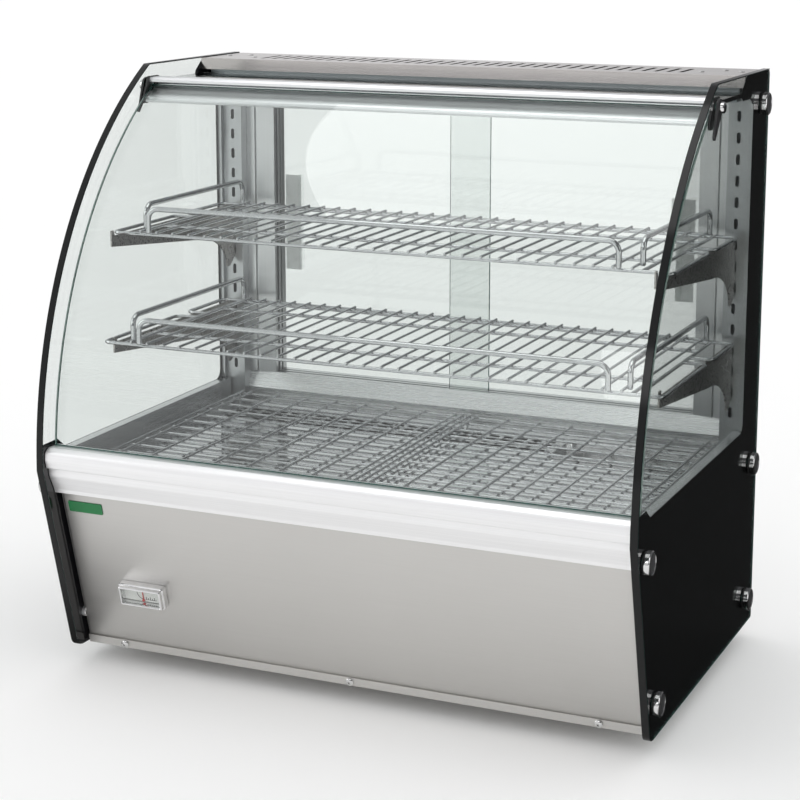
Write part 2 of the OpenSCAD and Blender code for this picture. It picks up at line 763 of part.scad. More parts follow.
module thermometer_bezel() {
    color(steel) on_panel(dial_x, dial_z) difference() {
        along_y(-bezel_out, -0.1) polygon(rounded([
            [-bezel_w / 2, -bezel_h / 2], [bezel_w / 2, -bezel_h / 2], [bezel_w / 2, bezel_h / 2],
            [-bezel_w / 2, bezel_h / 2]
        ], [3, 3, 3, 3]));
        block([-24, -bezel_out - 1, -8.5], [24, -3, 8.5]);
    }
}
module thermometer_dial() {
    color([0.93, 0.93, 0.9]) on_panel(dial_x, dial_z) block([-23.8, -4, -8.3], [23.8, -3, 8.3]);
}
module thermometer_pointer() {
    color([0.8, 0.1, 0.08]) on_panel(dial_x, dial_z) translate([0, -4.2, -6.5]) rotate([90, 0, 0]) {
        cylinder(h = 1.2, r = 1.6);
        linear_extrude(0.8) polygon([[-0.7, 0], [0.7, 0], [0.3, 13], [-0.3, 13]]);
    }
}
module label_plate() {
    color([0.1, 0.45, 0.2]) on_panel(-301, 197.5) along_y(-0.9, -0.1) polygon(rounded([
        [-21.5, -6.7], [21.5, -6.7], [21.5, 6.7], [-21.5, 6.7]
    ], [1.5, 1.5, 1.5, 1.5]));
}

base_tray();
feet();
front_panel();
front_screws();
side_sheet_left();
side_sheet_right();
rear_panel();
rear_screws();
front_profile();
deck_plate();
deck_ledges();
deck_grid_left();
deck_grid_right();
water_pan();
side_glass_left();
side_glass_right();
glass_prints();
edge_trims();
standoff_caps();
standoff_washers();
standoff_studs();
standoff_spacers();
front_glass();
glass_rail();
rail_end_caps();
pivot_pins();
pivot_bushes();
hinge_plates();
top_glass();
top_cover();
cover_screws();
lamp_housing();
lamp_lens();
uprights();
door_sill();
door_header();
door_jambs();
door_left();
door_right();
door_left_handle();
door_right_handle();
upper_brackets();
lower_brackets();
upper_shelf_grid();
upper_shelf_guards();
lower_shelf_grid();
lower_shelf_guards();
heating_element();
fan_frame();
fan_rotor();
thermostat_body();
thermostat_knob();
switch_housings();
power_switch();
light_switch();
cable_gland();
thermometer_bezel();
thermometer_dial();
thermometer_pointer();
label_plate();
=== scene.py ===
import math

import bmesh
import bpy
from mathutils import Matrix, Quaternion, Vector


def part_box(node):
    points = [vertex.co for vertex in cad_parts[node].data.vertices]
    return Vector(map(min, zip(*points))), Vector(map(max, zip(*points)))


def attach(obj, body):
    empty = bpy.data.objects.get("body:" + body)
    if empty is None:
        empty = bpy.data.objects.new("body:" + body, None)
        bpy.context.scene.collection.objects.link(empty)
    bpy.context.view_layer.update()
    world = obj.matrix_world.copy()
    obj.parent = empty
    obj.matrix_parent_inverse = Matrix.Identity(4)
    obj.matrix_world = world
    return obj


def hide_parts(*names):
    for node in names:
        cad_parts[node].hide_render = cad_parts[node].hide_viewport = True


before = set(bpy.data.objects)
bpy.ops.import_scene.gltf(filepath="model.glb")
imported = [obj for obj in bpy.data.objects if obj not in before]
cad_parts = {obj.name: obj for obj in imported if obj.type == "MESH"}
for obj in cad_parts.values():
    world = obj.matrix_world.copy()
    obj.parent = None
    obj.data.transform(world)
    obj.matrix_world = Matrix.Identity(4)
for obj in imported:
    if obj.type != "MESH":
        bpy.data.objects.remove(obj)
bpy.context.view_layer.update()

scene = bpy.context.scene

# Camera: a long lens to the right of the customer side and a little above the top cover, level enough
# that a small downward shift keeps the whole case in the picture.
camera_data = bpy.data.cameras.new("camera")
camera_data.lens = 90.4
camera_data.shift_y = -0.12
camera = bpy.data.objects.new("camera", camera_data)
scene.collection.objects.link(camera)
camera.location = (0.881, -2.012, 0.8455)
camera_dip = 11.11
camera_turn = 23.91
camera.rotation_euler = [math.radians(a) for a in (90 - camera_dip, 0, camera_turn)]
scene.camera = camera
scene.view_settings.view_transform = "Standard"

# Studio: a plain white floor that runs out of sight, an even white surround, and soft lights above,
# in front and at both sides that only bright surfaces mirror. Mirrored rays see a surround that falls off
# to the right, and the floor beside the case shows black to mirrored rays alone, a painted dark
# reflection with no cloth there, so that metal keeps its dark lines and black stays black.
floor_mesh = bpy.data.meshes.new("studio_floor")
floor_reach = 45
floor_mesh.from_pydata(
    [(x * floor_reach, y * floor_reach, 0) for x, y in ((-1, -1), (1, -1), (1, 1), (-1, 1))],
    [],
    [(0, 1, 2, 3)],
)
floor = bpy.data.objects.new("studio_floor", floor_mesh)
scene.collection.objects.link(floor)


def node_in(tree, kind, inputs=None, **settings):
    """Adds a shader node. inputs holds its numbers, colours or the sockets that feed it."""
    node = tree.nodes.new("ShaderNode" + kind)
    for name, value in settings.items():
        setattr(node, name, value)
    for name, value in (inputs or {}).items():
        if isinstance(value, bpy.types.NodeSocket):
            tree.links.new(value, node.inputs[name])
        else:
            node.inputs[name].default_value = value
    return node


def grey_ramp(tree, value, stops):
    """A colour ramp through (position, colour) stops."""
    ramp = node_in(tree, "ValToRGB", {"Fac": value})
    elements = ramp.color_ramp.elements
    while len(elements) < len(stops):
        elements.new(0.5)
    for element, (position, colour) in zip(elements, stops):
        element.position = position
        element.color = (*colour, 1)
    return ramp.outputs["Color"]


def new_finish(name, **constants):
    """A material whose shader starts from these plain values."""
    finish = bpy.data.materials.new(name)
    finish.use_nodes = True
    shader = finish.node_tree.nodes["Principled BSDF"]
    for socket, value in constants.items():
        shader.inputs[socket.replace("_", " ")].default_value = value
    return finish, finish.node_tree, shader


def noise_on(tree, stretch, detail=3.0):
    """Noise in the piece's own space, in waves per metre along each axis."""
    place = node_in(tree, "TexCoord").outputs["Object"]
    mapped = node_in(tree, "Mapping", {"Vector": place, "Scale": stretch}).outputs["Vector"]
    return node_in(tree, "TexNoise", {"Vector": mapped, "Scale": 1.0, "Detail": detail}).outputs["Fac"]


def spread(tree, value, low, high):
    """Noise of the middle range spread out to run from low to high."""
    return node_in(
        tree,
        "MapRange",
        {"Value": value, "From Min": 0.3, "From Max": 0.7, "To Min": low, "To Max": high},
    ).outputs["Result"]


def bump_in(tree, shader, height, strength, distance):
    """Fine relief on the surface."""
    bump = node_in(tree, "Bump", {"Height": height, "Strength": strength, "Distance": distance})
    tree.links.new(bump.outputs["Normal"], shader.inputs["Normal"])


def mirrored_rays(tree):
    """1 for a ray that a surface has mirrored, and 0 for one that comes straight or has been scattered."""
    path = node_in(tree, "LightPath").outputs
    mirrored = node_in(tree, "Math", {0: path["Glossy Depth"], 1: 1.0}, operation="MINIMUM").outputs[0]
    scattered = node_in(tree, "Math", {0: path["Diffuse Depth"], 1: 1.0}, operation="MINIMUM").outputs[0]
    straight = node_in(tree, "Math", {0: 1.0, 1: scattered}, operation="SUBTRACT").outputs[0]
    return node_in(tree, "Math", {0: mirrored, 1: straight}, operation="MULTIPLY").outputs[0]


def switch(tree, fac, first, second):
    """Mixes two shaders."""
    pick = node_in(tree, "MixShader", {"Fac": fac})
    tree.links.new(first, pick.inputs[1])
    tree.links.new(second, pick.inputs[2])
    return pick.outputs[0]


paper, tree, shader = new_finish("studio_paper", Roughness=0.6)
shader.inputs["Specular IOR Level"].default_value = 0.0
paper_tone = [(0.3, (0.955, 0.955, 0.955)), (0.7, (0.965, 0.965, 0.965))]
tree.links.new(grey_ramp(tree, noise_on(tree, (0.8, 0.8, 0.8)), paper_tone), shader.inputs["Base Color"])
# The floor beside the case turns black for mirrored rays only: a painted dark reflection, not a real cloth.
dark_reflection_side = (0.335, 0.345)
dark_reflection_front = (-0.3, -0.15)
spot = node_in(tree, "SeparateXYZ", {"Vector": node_in(tree, "TexCoord").outputs["Object"]}).outputs
aside = node_in(tree, "Math", {0: spot["X"]}, operation="ABSOLUTE").outputs[0]


def fade(tree, value, start, end):
    """0 at one value, 1 at the other and even in between."""
    return node_in(tree, "MapRange", {"Value": value, "From Min": start, "From Max": end}).outputs["Result"]


beyond = fade(tree, aside, *dark_reflection_side)
behind = fade(tree, spot["Y"], *dark_reflection_front)
beside = node_in(tree, "Math", {0: beyond, 1: behind}, operation="MULTIPLY").outputs[0]
in_dark_reflection = node_in(tree, "Math", {0: beside, 1: mirrored_rays(tree)}, operation="MULTIPLY").outputs[0]
painted_dark_reflection = node_in(tree, "BsdfDiffuse", {"Color": (0.02, 0.02, 0.02, 1)}).outputs[0]
floor_look = switch(tree, in_dark_reflection, shader.outputs[0], painted_dark_reflection)
tree.links.new(floor_look, tree.nodes["Material Output"].inputs["Surface"])
floor_mesh.materials.append(paper)

world = bpy.data.worlds.new("studio")
world.use_nodes = True
scene.world = world
tree = world.node_tree
even = tree.nodes["Background"]
even.inputs["Color"].default_value = (1, 1, 1, 1)
even.inputs["Strength"].default_value = 1.05
way = node_in(tree, "SeparateXYZ", {"Vector": node_in(tree, "TexCoord").outputs["Generated"]}).outputs
leftward = fade(tree, way["X"], 1.0, -1.0)
dim_tones = [
    (0.3, (0.1, 0.1, 0.105)), (0.5, (0.26, 0.26, 0.27)), (0.68, (0.74, 0.74, 0.75)), (1.0, (0.8, 0.8, 0.81)),
]
dimmed = grey_ramp(tree, leftward, dim_tones)
mirrored = node_in(tree, "Background", {"Color": dimmed, "Strength": 1.0}).outputs[0]
surround = switch(tree, mirrored_rays(tree), even.outputs[0], mirrored)
tree.links.new(surround, tree.nodes["World Output"].inputs["Surface"])


def softbox(name, place, aim, wide, tall, power):
    """A flat soft light that points at a spot."""
    light = bpy.data.lights.new(name, "AREA")
    light.shape = "RECTANGLE"
    light.size = wide
    light.size_y = tall
    light.energy = power
    lamp = bpy.data.objects.new(name, light)
    lamp.visible_diffuse = False
    scene.collection.objects.link(lamp)
    lamp.location = place
    lamp.rotation_euler = (Vector(aim) - Vector(place)).to_track_quat("-Z", "Y").to_euler()


mid = (0, 0, 0.35)
softbox("light_above", (0.0, -0.3, 2.6), mid, 2.2, 1.6, 16)
softbox("light_left", (-2.4, -1.2, 1.3), mid, 1.2, 1.8, 12)
softbox("light_right", (2.6, -0.4, 1.2), mid, 0.9, 1.8, 7)
softbox("light_front", (0.2, -3.2, 1.9), mid, 2.0, 0.8, 8)

# Base tray: the floor of the housing, folded from 1.2 mm stainless sheet. Its turned-up front lip lies
# over the front panel's foot and is screwed to it. The tray stands on four rubber feet.


def brushed_steel(name, grain, tone=(0.62, 0.61, 0.6), rough=(0.28, 0.36), contrast=0.05, relief=0.04):
    """Brushed stainless sheet. grain is how long the brush marks run along each axis, in waves a metre."""
    finish, tree, shader = new_finish(name, Metallic=1.0)
    marks = noise_on(tree, grain, 5.0)
    clouds = noise_on(tree, (3.2, 3.2, 2.2), 2.0)
    both = node_in(
        tree,
        "Mix",
        {"Factor": 0.5, "A": spread(tree, marks, 0.0, 1.0), "B": spread(tree, clouds, 0.0, 1.0)},
    ).outputs["Result"]
    dark = tuple(c * (1 - contrast) for c in tone)
    light = tuple(min(c * (1 + contrast), 0.97) for c in tone)
    tree.links.new(grey_ramp(tree, both, [(0.1, dark), (0.9, light)]), shader.inputs["Base Color"])
    tree.links.new(spread(tree, marks, *rough), shader.inputs["Roughness"])
    bump_in(tree, shader, marks, relief, 0.0003)
    return finish


def moulded_plastic(name, colour, rough=0.42, grain=1400.0):
    """Moulded plastic or rubber with a fine tool grain."""
    finish, tree, shader = new_finish(name)
    grains = noise_on(tree, (grain, grain, grain), 2.0)
    worn = noise_on(tree, (22.0, 22.0, 22.0), 4.0)
    dark = tuple(c * 0.85 for c in colour)
    light = tuple(c * 1.25 + 0.004 for c in colour)
    tree.links.new(grey_ramp(tree, worn, [(0.3, dark), (0.7, light)]), shader.inputs["Base Color"])
    tree.links.new(spread(tree, worn, rough - 0.06, rough + 0.08), shader.inputs["Roughness"])
    bump_in(tree, shader, grains, 0.25, 0.0002)
    return finish


def coat(finish, *nodes):
    """Gives CAD parts their finish."""
    for node in nodes:
        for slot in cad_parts[node].material_slots:
            slot.material = finish


def fit(name, bm, finishes, body, stock, *nodes):
    """Makes an object from a mesh and hangs it on its body in place of the CAD parts it stands for."""
    bmesh.ops.recalc_face_normals(bm, faces=bm.faces)
    mesh = bpy.data.meshes.new(name)
    bm.to_mesh(mesh)
    bm.free()
    part = bpy.data.objects.new(name, mesh)
    scene.collection.objects.link(part)
    for finish in finishes:
        mesh.materials.append(finish)
    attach(part, body)
    if nodes:
        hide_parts(*nodes)
    return part


def smooth(part, angle=32):
    """Rounded faces shade smoothly up to real edges."""
    part.data.polygons.foreach_set("use_smooth", [True] * len(part.data.polygons))
    part.data.set_sharp_from_angle(angle=math.radians(angle))


def ease_edges(part, width, segments=2):
    """Takes the sharpness off every edge, as deburring or moulding does."""
    bevel = part.modifiers.new("eased_edges", "BEVEL")
    bevel.width = width
    bevel.segments = segments
    bevel.limit_method = "ANGLE"
    bevel.angle_limit = math.radians(35)
    bevel.use_clamp_overlap = True
    bevel.harden_normals = True
    smooth(part, 35)


def copy_mesh(*nodes):
    """The shape of CAD parts, with flat faces whole again so that their edges can be eased."""
    bm = bmesh.new()
    for node in nodes:
        bm.from_mesh(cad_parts[node].data)
    bmesh.ops.remove_doubles(bm, verts=bm.verts, dist=0.00001)
    bmesh.ops.dissolve_limit(
        bm, angle_limit=math.radians(0.6), verts=bm.verts, edges=bm.edges, use_dissolve_boundaries=False
    )
    for face in bm.faces:
        face.material_index = 0
    return bm


def eased_copy(name, node, finish, body, stock, width):
    """A CAD part with its edges eased."""
    part = fit(name, copy_mesh(node), [finish], body, stock, node)
    ease_edges(part, width)
    return part


front_tone = (0.645, 0.635, 0.615)
brushed_front = brushed_steel("brushed_front", (10.0, 900.0, 900.0), front_tone, (0.38, 0.46), 0.03, 0.02)
eased_copy("base_tray_sheet", "base_tray", brushed_front, "case", "stainless", 0.0004)
rubber = moulded_plastic("foot_rubber", (0.022, 0.022, 0.022), 0.62, 2200.0)


def turned(bm, profile, place, axis, sides=48):
    """Turns a profile of (radius, distance along the axis) points about an axis through place."""
    axis = Vector(axis).normalized()
    side = axis.orthogonal().normalized()
    up = axis.cross(side)
    rings = []
    for radius, along in profile:
        centre = Vector(place) + axis * along
        count = sides if radius > 0 else 1
        rings.append([
            bm.verts.new(centre + (side * math.cos(a) + up * math.sin(a)) * radius)
            for a in (2 * math.pi * i / sides for i in range(count))
        ])
    faces = []
    for low, high in zip(rings, rings[1:]):
        for i in range(sides):
            corners = [low[i % len(low)], low[(i + 1) % len(low)]]
            corners += [high[(i + 1) % len(high)], high[i % len(high)]]
            corners = list(dict.fromkeys(corners))
            if len(corners) > 2:
                faces.append(bm.faces.new(corners))
    return faces


def foot_profile(height):
    """Outline of a foot: a grooved pad under a plain column, open at the bottom round its screw."""
    return [
        (0, 0.006), (0.005, 0.006), (0.005, 0.0004), (0.0155, 0), (0.0166, 0.0006), (0.017, 0.0015),
        (0.017, 0.0028), (0.0163, 0.0034), (0.0155, 0.0038), (0.015, 0.0048), (0.0142, 0.0056),
        (0.0142, 0.0064), (0.015, 0.0072), (0.015, height - 0.0008), (0.0144, height), (0, height),
    ]


feet_low, feet_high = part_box("feet")
foot_reach = 0.017
bm = bmesh.new()
for x in (feet_low.x + foot_reach, feet_high.x - foot_reach):
    for y in (feet_low.y + foot_reach, feet_high.y - foot_reach):
        turned(bm, foot_profile(feet_high.z), (x, y, 0), (0, 0, 1))
smooth(fit("rubber_feet", bm, [rubber], "case", "rubber", "feet"))

# Side sheets, rear panel and its screws: folded stainless sheet that closes the housing. The rear panel
# has a row of louvres and carries the controls.
steel_plain = brushed_steel("steel_plain", (14.0, 900.0, 900.0))
coat(steel_plain, "side_sheet_left", "side_sheet_right")
steel_upright = brushed_steel("steel_rear_panel", (900.0, 900.0, 12.0))
eased_copy("rear_panel_sheet", "rear_panel", steel_upright, "case", "stainless", 0.0003)


def bright_metal(name, colour=(0.76, 0.76, 0.755), rough=(0.05, 0.12), scuffs=160.0, relief=0.012):
    """Polished or plated metal with faint handling marks."""
    finish, tree, shader = new_finish(name, Metallic=1.0)
    marks = noise_on(tree, (scuffs, scuffs, scuffs), 5.0)
    dark = tuple(c * 0.93 for c in colour)
    tree.links.new(grey_ramp(tree, marks, [(0.3, dark), (0.65, colour)]), shader.inputs["Base Color"])
    tree.links.new(spread(tree, marks, *rough), shader.inputs["Roughness"])
    bump_in(tree, shader, marks, relief, 0.0003)
    return finish


polished = bright_metal("polished_steel")


dome_end = 1.15
head_sides = 48


def dome_place(radius, height, turn):
    """Where a screw's domed head is at a turn up from its edge: radius and height."""
    return radius * math.cos(turn), height * (0.35 + 0.65 * math.sin(turn))


def screw_profile(radius, height, shank, reach):
    """Outline of a pan-head screw, from its tip to the middle of its domed head."""
    dome = [dome_place(radius, height, a) for a in (0.15, 0.5, 0.85, dome_end)]
    return [(0, -reach), (shank, -reach), (shank, 0), (radius * 0.94, 0), (radius, height * 0.2)] + dome


def skin(bm, rings, capped=False):
    """Faces between each ring of points and the next, and over both ends where capped."""
    for low, high in zip(rings, rings[1:]):
        for i in range(len(low)):
            ahead = (i + 1) % len(low)
            bm.faces.new([low[i], low[ahead], high[ahead], high[i]])
    if capped:
        bm.faces.new(rings[0])
        bm.faces.new(rings[-1])


def cross_recess(bm, place, axis, radius, height, arm):
    """The cross slot of a screw, sunk into the top of its head, with the head's face around it."""
    axis = Vector(axis).normalized()
    side = axis.orthogonal().normalized()
    up = axis.cross(side)
    edge = arm * 0.24
    corners = []
    for quarter in range(4):
        a = quarter * math.pi / 2
        ahead = side * math.cos(a) + up * math.sin(a)
        across = axis.cross(ahead)
        corners += [ahead * arm - across * edge, ahead * arm + across * edge, (ahead + across) * edge]
    top = Vector(place) + axis * height
    lip = [bm.verts.new(top + c) for c in corners]
    pit = [bm.verts.new(top + c * 0.7 - axis * height * 0.55) for c in corners]
    skin(bm, [lip, pit])
    bm.faces.new(pit)
    rim_radius, rim_height = dome_place(radius, height, dome_end)
    rim_centre = Vector(place) + axis * rim_height
    turns = [2 * math.pi * i / head_sides for i in range(head_sides)]
    rim = [bm.verts.new(rim_centre + (side * math.cos(a) + up * math.sin(a)) * rim_radius) for a in turns]
    return lip, rim


def screw(bm, place, axis, radius, height, shank, reach):
    """A pan-head screw with a cross slot."""
    turned(bm, screw_profile(radius, height, shank, reach), place, axis, head_sides)
    lip, rim = cross_recess(bm, place, axis, radius, height, radius * 0.34)
    for i in range(12):
        start = i * 4
        fan = [rim[(start + k - 2) % head_sides] for k in range(5)]
        bm.faces.new([lip[i]] + fan)
        bm.faces.new([lip[i], fan[4], lip[(i + 1) % 12]])
    bmesh.ops.remove_doubles(bm, verts=bm.verts, dist=0.000005)


def screws_on(name, node, places, axis, radius, height, shank, reach, stock="polished_steel"):
    """A group of like screws."""
    bm = bmesh.new()
    for place in places:
        screw(bm, place, axis, radius, height, shank, reach)
    smooth(fit(name, bm, [polished], "case", stock, node))


rear_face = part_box("rear_panel")[1].y
rear_places = [(x, rear_face, z) for x in (-0.31, -0.1, 0.1, 0.31) for z in (0.036, 0.222)]
screws_on("rear_panel_screws", "rear_screws", rear_places, (0, 1, 0), 0.0042, 0.0024, 0.002, 0.006)

# Front panel: one brushed stainless sheet that leans back towards its foot, folded back at both ends and
# tucked behind the front profile at the top. Three pan-head screws hold it through the tray's lip.
panel_low, panel_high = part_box("front_panel")
panel_sheet = 0.0012
panel_lean = (panel_high.y - panel_low.y - panel_sheet) / (panel_high.z - panel_low.z)
panel_tilt = math.atan(panel_lean)


def panel_face(z):
    """Depth of the front panel's outer face at a height."""
    return panel_high.y - panel_sheet - (z - panel_low.z) * panel_lean


def folded_ends(half, bend, turn_back):
    """Outline of the panel seen from above, from the left fold round to the right one: width and depth."""
    arc = [math.radians(a) for a in range(0, 91, 15)]
    left = [(-half, turn_back)] + [(-half + bend * (1 - math.cos(a)), bend * (1 - math.sin(a))) for a in arc]
    return left + [(-x, y) for x, y in reversed(left)]


fold_bend = 0.0022
outer = folded_ends(panel_high.x, fold_bend, 0.012)
inner = folded_ends(panel_high.x - panel_sheet, fold_bend - panel_sheet, 0.012 - panel_sheet)
inner = [(x, y + panel_sheet) for x, y in inner]
rows = []
bm = bmesh.new()
for z in (panel_low.z, panel_low.z + 0.0004, panel_high.z - 0.0004, panel_high.z):
    inset = 0.0003 if z in (panel_low.z, panel_high.z) else 0
    rows.append([bm.verts.new((x, panel_face(z) + y + inset, z)) for x, y in outer])
back = [[bm.verts.new((x, panel_face(z) + y, z)) for x, y in inner] for z in (panel_high.z, panel_low.z)]
rows += back
for low, high in zip(rows, rows[1:] + rows[:1]):
    for i in range(len(low) - 1):
        bm.faces.new([low[i], low[i + 1], high[i + 1], high[i]])
for i in (0, -1):
    bm.faces.new([row[i] for row in rows])
smooth(fit("front_panel_sheet", bm, [brushed_front], "case", "stainless", "front_panel"))
screw_up = 0.005
lip_thick = 0.0013
lip_screw_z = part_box("base_tray")[0].z + screw_up
panel_way = Vector((0, -math.cos(panel_tilt), -math.sin(panel_tilt)))
lip_out = panel_way * lip_thick
lip_places = [Vector((x, panel_face(lip_screw_z), lip_screw_z)) + lip_out for x in (-0.282, 0, 0.282)]
screws_on("front_panel_screws", "front_screws", lip_places, panel_way, 0.0048, 0.003, 0.002, 0.009)

# Front profile: a satin anodised aluminium extrusion with a full upper body, a shadow step and a thin
# skirt that curls in under it. It carries the foot of the front glass.


def drawn_aluminium(name, colour=(0.84, 0.845, 0.85), rough=(0.26, 0.34), grain=(6.0, 700.0, 700.0)):
    """Anodised extrusion with faint die lines along its length."""
    finish, tree, shader = new_finish(name, Metallic=1.0)
    lines = noise_on(tree, grain, 4.0)
    dark = tuple(c * 0.95 for c in colour)
    tree.links.new(grey_ramp(tree, lines, [(0.3, dark), (0.7, colour)]), shader.inputs["Base Color"])
    tree.links.new(spread(tree, lines, *rough), shader.inputs["Roughness"])
    bump_in(tree, shader, lines, 0.008, 0.0002)
    return finish


satin_profile = drawn_aluminium("satin_profile", (0.96, 0.96, 0.965), (0.42, 0.5))
eased_copy("front_profile_bar", "front_profile", satin_profile, "case", "aluminium_profile", 0.0003)

# Deck: a perforated stainless plate over the heater, with a low ledge along each side, two welded mesh
# grids of chromed wire that lift the food off it, and a pressed water pan let in at the back.
deck_steel = brushed_steel("deck_steel", (5.0, 300.0, 300.0), (0.76, 0.765, 0.77), (0.05, 0.09), 0.02, 0.0006)
eased_copy("deck_plate_sheet", "deck_plate", deck_steel, "case", "stainless", 0.0002)
ledge_steel = brushed_steel("ledge_steel", (300.0, 6.0, 300.0), (0.78, 0.785, 0.79), (0.2, 0.26), 0.02, 0.006)
eased_copy("deck_ledge_sheets", "deck_ledges", ledge_steel, "case", "stainless", 0.0004)
chrome = bright_metal("chromed_wire", (0.66, 0.67, 0.68), (0.03, 0.06), 240.0, 0.002)


def bent_line(points, bend, steps=7):
    """The centre line of a wire whose corners are bent to a radius."""
    line = [Vector(points[0])]
    for before, corner, after in zip(points, points[1:], points[2:]):
        corner = Vector(corner)
        into = (Vector(before) - corner).normalized()
        out = (Vector(after) - corner).normalized()
        half = into.angle(out) / 2
        centre = corner + (into + out).normalized() * bend / math.sin(half)
        start = corner + into * bend / math.tan(half) - centre
        end = corner + out * bend / math.tan(half) - centre
        sweep = start.rotation_difference(end)
        line += [centre + Quaternion().slerp(sweep, i / steps) @ start for i in range(steps + 1)]
    return line + [Vector(points[-1])]


def draw_wire(bm, line, radius, sides=12):
    """Round wire along a centre line, with the burr taken off its cut ends."""
    ahead = [(b - a).normalized() for a, b in zip(line, line[1:])]
    ease = radius * 0.3
    stations = [(line[0], ahead[0], radius - ease), (line[0] + ahead[0] * ease, ahead[0], radius)]
    for centre, before, after in zip(line[1:], ahead, ahead[1:]):
        stations.append((centre, (before + after).normalized(), radius))
    stations += [(line[-1] - ahead[-1] * ease, ahead[-1], radius), (line[-1], ahead[-1], radius - ease)]
    side = ahead[0].orthogonal().normalized()
    rings = []
    for centre, way, reach in stations:
        side = (side - way * side.dot(way)).normalized()
        up = way.cross(side)
        turns = [2 * math.pi * i / sides for i in range(sides)]
        rings.append([bm.verts.new(centre + (side * math.cos(a) + up * math.sin(a)) * reach) for a in turns])
    skin(bm, rings, capped=True)


mesh_wire = 0.0015
for side, node in ((-1, "deck_grid_left"), (1, "deck_grid_right")):
    low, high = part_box(node)
    inner_x = min(abs(low.x), abs(high.x)) + mesh_wire
    outer_x = max(abs(low.x), abs(high.x)) - mesh_wire
    top_z = high.z - mesh_wire
    under_z = top_z - 2 * mesh_wire + 0.0004
    foot_z = low.z
    bm = bmesh.new()
    for x in [inner_x] + [0.014 + 0.04 * k for k in range(8)] + [outer_x]:
        draw_wire(bm, [Vector((side * x, low.y, top_z)), Vector((side * x, high.y, top_z))], mesh_wire)
    for k in range(12):
        y = low.y + 0.003 + 0.03 * k
        ends = [(side * x, y, under_z) for x in (inner_x - mesh_wire, outer_x + mesh_wire)]
        draw_wire(bm, [Vector(end) for end in ends], mesh_wire)
    for x in (inner_x, outer_x):
        for y in (low.y + 0.011, high.y - 0.0095):
            draw_wire(bm, [Vector((side * x, y, foot_z)), Vector((side * x, y, top_z))], mesh_wire)
    smooth(fit(node + "_wires", bm, [chrome], "case", "chromed_wire", node))


def rounded_loop(bm, low, high, radius, z, steps=8):
    """A ring of points round a rectangle with round corners, at a height."""
    ring = []
    for quarter, (x, y) in enumerate(((high.x, high.y), (low.x, high.y), (low.x, low.y), (high.x, low.y))):
        cx = x - radius if quarter in (0, 3) else x + radius
        cy = y - radius if quarter in (0, 1) else y + radius
        for i in range(steps + 1):
            a = math.pi / 2 * (quarter + i / steps)
            ring.append(bm.verts.new((cx + radius * math.cos(a), cy + radius * math.sin(a), z)))
    return ring


pan_low, pan_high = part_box("water_pan")
rim_z = pan_high.z
pan_floor = pan_low.z
# inset from the rim's outer edge, corner radius and height of each step of the pressing, outside then in
pan_steps = [
    (0.0096, 0.008, pan_floor), (0.0068, 0.010, pan_floor + 0.003),
    (0.0062, 0.010, rim_z - 0.0052), (0.0058, 0.010, rim_z - 0.0042),
    (0.0006, 0.0134, rim_z - 0.0038), (0.0, 0.014, rim_z - 0.0028), (0.0004, 0.0136, rim_z - 0.0008),
    (0.0016, 0.0124, rim_z), (0.0036, 0.0112, rim_z - 0.0004), (0.0062, 0.0098, rim_z - 0.0014),
    (0.0072, 0.0092, rim_z - 0.0034), (0.0078, 0.009, pan_floor + 0.005),
    (0.0086, 0.0084, pan_floor + 0.0024), (0.0110, 0.0070, pan_floor + 0.0011),
]


def stepped_rings(bm, low, high, steps, corner_steps=8):
    """Rings round a rectangle, one for each step of (inset, corner radius, height)."""
    rings = []
    for inset, radius, z in steps:
        shrink = Vector((inset, inset, 0))
        rings.append(rounded_loop(bm, low + shrink, high - shrink, radius, z, corner_steps))
    return rings


bm = bmesh.new()
skin(bm, stepped_rings(bm, pan_low, pan_high, pan_steps), capped=True)
pan_steel = bright_metal("pan_steel", (0.8, 0.8, 0.8), (0.08, 0.18), 60.0)
smooth(fit("pressed_water_pan", bm, [pan_steel], "case", "polished_steel", "water_pan"))

# Side glasses: 8 mm clear tempered glass with a round front edge. The black print is baked on the inner
# face, over the housing, along the rear strip and round the cover; the front and top edges are black too.


def clear_glass(name, tint=0.93, density=5.0):
    """Clear float glass: polished faces with a few wiped smears, and the green of its own depth."""
    finish, tree, shader = new_finish(name, IOR=1.5, Transmission_Weight=1.0)
    shader.inputs["Base Color"].default_value = (tint * 0.985, tint, tint * 0.99, 1)
    smears = noise_on(tree, (9.0, 9.0, 9.0), 4.0)
    tree.links.new(spread(tree, smears, 0.0, 0.0015), shader.inputs["Roughness"])
    through = node_in(tree, "BsdfTransparent", {"Color": (0.93, 0.955, 0.945, 1)}).outputs[0]
    lamp_rays = node_in(tree, "LightPath").outputs["Is Shadow Ray"]
    look = switch(tree, lamp_rays, shader.outputs[0], through)
    output = tree.nodes["Material Output"]
    tree.links.new(look, output.inputs["Surface"])
    green = node_in(tree, "VolumeAbsorption", {"Color": (0.55, 0.9, 0.8, 1), "Density": density})
    tree.links.new(green.outputs[0], output.inputs["Volume"])
    return finish


def ground_edge(name, colour, rough=(0.2, 0.3)):
    """The ground and polished edge of a pane, where the depth of the glass shows as green."""
    finish, tree, shader = new_finish(name, IOR=1.5)
    streaks = noise_on(tree, (120.0, 120.0, 14.0), 3.0)
    dark = tuple(c * 0.75 for c in colour)
    tree.links.new(grey_ramp(tree, streaks, [(0.3, dark), (0.7, colour)]), shader.inputs["Base Color"])
    tree.links.new(spread(tree, streaks, *rough), shader.inputs["Roughness"])
    return finish


def edge_faces(bm, across, finish_index=1):
    """Marks the narrow faces round a pane. across is the axis through its thickness."""
    bm.normal_update()
    for face in bm.faces:
        if abs(face.normal[across]) < 0.5:
            face.material_index = finish_index


